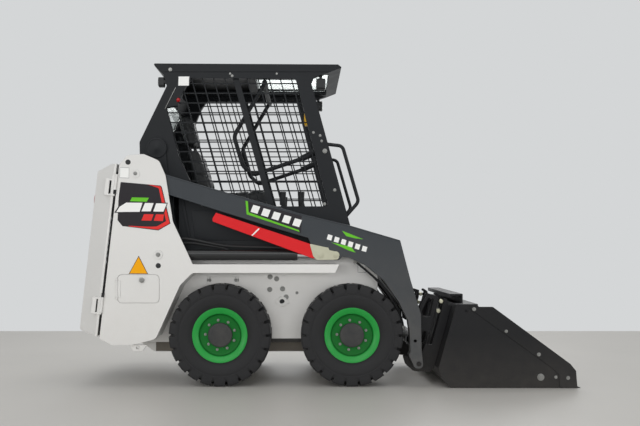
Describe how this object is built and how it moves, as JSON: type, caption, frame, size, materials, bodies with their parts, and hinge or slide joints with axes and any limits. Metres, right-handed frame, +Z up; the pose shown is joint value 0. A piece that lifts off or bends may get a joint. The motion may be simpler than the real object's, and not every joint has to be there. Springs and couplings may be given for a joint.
{
  "type": "skid steer loader",
  "caption": "Compact battery skid steer loader: barred cab, lift arms pivoted on tall rear uprights, tilting coupler with a wide bucket, lugged tyres and a hinged tailgate.",
  "frame": {"origin": "middle of the whole machine's footprint, on the ground", "axes": "+X forward to the bucket, +Y to the machine's left, +Z up"},
  "size_m": [2.896, 1.15, 1.8839],
  "materials": {
    "white_paint": "gloss",
    "charcoal_paint": "satin",
    "cab_paint": "satin",
    "black_paint": "satin",
    "green_paint": "gloss",
    "red_paint": "gloss",
    "zinc": "zinc plated",
    "steel": "machined",
    "chrome": "polished",
    "tyre_rubber": "matt",
    "seat_vinyl": "grained vinyl",
    "dark_plastic": "moulded",
    "lamp_red": "clear lens",
    "switch_yellow": "moulded",
    "glass": "clear"
  },
  "bodies": {
    "chassis": {"chassis_tub": "white_paint", "battery_pack": "dark_plastic", "side_frame_right": "white_paint", "side_frame_left": "white_paint", "inner_uprights": "white_paint", "frame_pins": "steel", "charge_socket": "dark_plastic", "chain_case_covers": "white_paint", "rear_frame": "charcoal_paint", "bay_cover": "charcoal_paint", "axle_housings": "black_paint"},
    "wheel_rear_right": {"tyre_rear_right": "tyre_rubber", "rim_rear_right": "green_paint"},
    "wheel_rear_left": {"tyre_rear_left": "tyre_rubber", "rim_rear_left": "green_paint"},
    "wheel_front_right": {"tyre_front_right": "tyre_rubber", "rim_front_right": "green_paint"},
    "wheel_front_left": {"tyre_front_left": "tyre_rubber", "rim_front_left": "green_paint"},
    "lift_arm": {"lift_arm_right": "charcoal_paint", "lift_arm_left": "charcoal_paint", "arm_cross_tube": "charcoal_paint", "knee_brackets": "zinc"},
    "arm_prop": {"arm_prop": "red_paint"},
    "lift_barrel": {"lift_barrels": "black_paint"},
    "lift_rod": {"lift_rods": "chrome"},
    "tilt_barrel": {"tilt_barrels": "black_paint"},
    "tilt_rod": {"tilt_rods": "chrome"},
    "bucket": {"coupler_frame": "black_paint", "bucket_shell": "black_paint", "bucket_cheeks": "black_paint", "cutting_edge": "steel"},
    "tailgate": {"tailgate": "white_paint", "tail_lamps": "lamp_red"},
    "charge_hatch": {"charge_hatch": "white_paint"},
    "cab": {"cab_side_right": "cab_paint", "cab_side_left": "cab_paint", "cab_roof": "cab_paint", "cab_rear_wall": "cab_paint", "cab_glass": "glass", "cab_floor": "cab_paint", "window_guards": "cab_paint", "seat_cushion": "seat_vinyl", "seat_back": "seat_vinyl", "control_levers": "dark_plastic", "grab_handles": "cab_paint", "work_lamps": "dark_plastic", "cab_fittings": "switch_yellow"},
    "seat_bar": {"seat_bar": "cab_paint"}
  },
  "joints": [
    {"name": "wheel_rear_right", "type": "hinge", "parent": "chassis", "child": "wheel_rear_right", "pos_m": [-0.618, -0.4325, 0.295], "axis": [0, 1, 0], "continuous": true},
    {"name": "wheel_rear_left", "type": "hinge", "parent": "chassis", "child": "wheel_rear_left", "pos_m": [-0.618, 0.4325, 0.295], "axis": [0, 1, 0], "continuous": true},
    {"name": "wheel_front_right", "type": "hinge", "parent": "chassis", "child": "wheel_front_right", "pos_m": [0.144, -0.4325, 0.295], "axis": [0, 1, 0], "continuous": true},
    {"name": "wheel_front_left", "type": "hinge", "parent": "chassis", "child": "wheel_front_left", "pos_m": [0.144, 0.4325, 0.295], "axis": [0, 1, 0], "continuous": true},
    {"name": "lift_arm", "type": "hinge", "parent": "chassis", "child": "lift_arm", "pos_m": [-1.101, 0, 1.226], "axis": [0, -1, 0], "range_deg": [0, 72]},
    {"name": "lift_barrel", "type": "hinge", "parent": "chassis", "child": "lift_barrel", "pos_m": [-0.9695, 0, 0.76], "axis": [0, -1, 0], "range_deg": [0, 64.9]},
    {"name": "lift_rod", "type": "slide", "parent": "lift_barrel", "child": "lift_rod", "axis": [1, 0, -0.002], "range_m": [0, 0.5469]},
    {"name": "bucket", "type": "hinge", "parent": "lift_arm", "child": "bucket", "pos_m": [0.529, 0, 0.131], "axis": [0, 1, 0], "range_deg": [-18, 95]},
    {"name": "tilt_barrel", "type": "hinge", "parent": "lift_arm", "child": "tilt_barrel", "pos_m": [0.215, 0, 0.787], "axis": [0, 1, 0], "range_deg": [-0.7, 3.3]},
    {"name": "tilt_rod", "type": "slide", "parent": "tilt_barrel", "child": "tilt_rod", "axis": [0.6315, 0, -0.7754], "range_m": [-0.0608, 0.3205]},
    {"name": "tailgate", "type": "hinge", "parent": "chassis", "child": "tailgate", "pos_m": [-1.31495, -0.545, 0.2778], "axis": [0.114, 0, 0.9935], "range_deg": [0, 100]},
    {"name": "charge_hatch", "type": "hinge", "parent": "chassis", "child": "charge_hatch", "pos_m": [-1.206, -0.5433, 0.5635], "axis": [0, 0, -1], "range_deg": [0, 100]},
    {"name": "cab_tilt", "type": "hinge", "parent": "chassis", "child": "cab", "pos_m": [-0.997, 0, 1.385], "axis": [0, -1, 0], "range_deg": [0, 35]},
    {"name": "seat_bar", "type": "hinge", "parent": "cab", "child": "seat_bar", "pos_m": [-0.366, 0, 1.78], "axis": [0, -1, 0], "range_deg": [0, 42]},
    {"name": "arm_prop", "type": "hinge", "parent": "lift_arm", "child": "arm_prop", "pos_m": [-0.038, 0, 0.758], "axis": [0, -1, 0], "range_deg": [0, 10]}
  ],
  "couplings": [
    {"joint": "lift_barrel", "follows": "lift_arm", "ratio": 0.90021},
    {"joint": "lift_rod", "follows": "lift_arm", "m_per_rad": 0.43508},
    {"joint": "tilt_barrel", "follows": "bucket", "ratio": 0.0335},
    {"joint": "tilt_rod", "follows": "bucket", "m_per_rad": 0.1932}
  ]
}
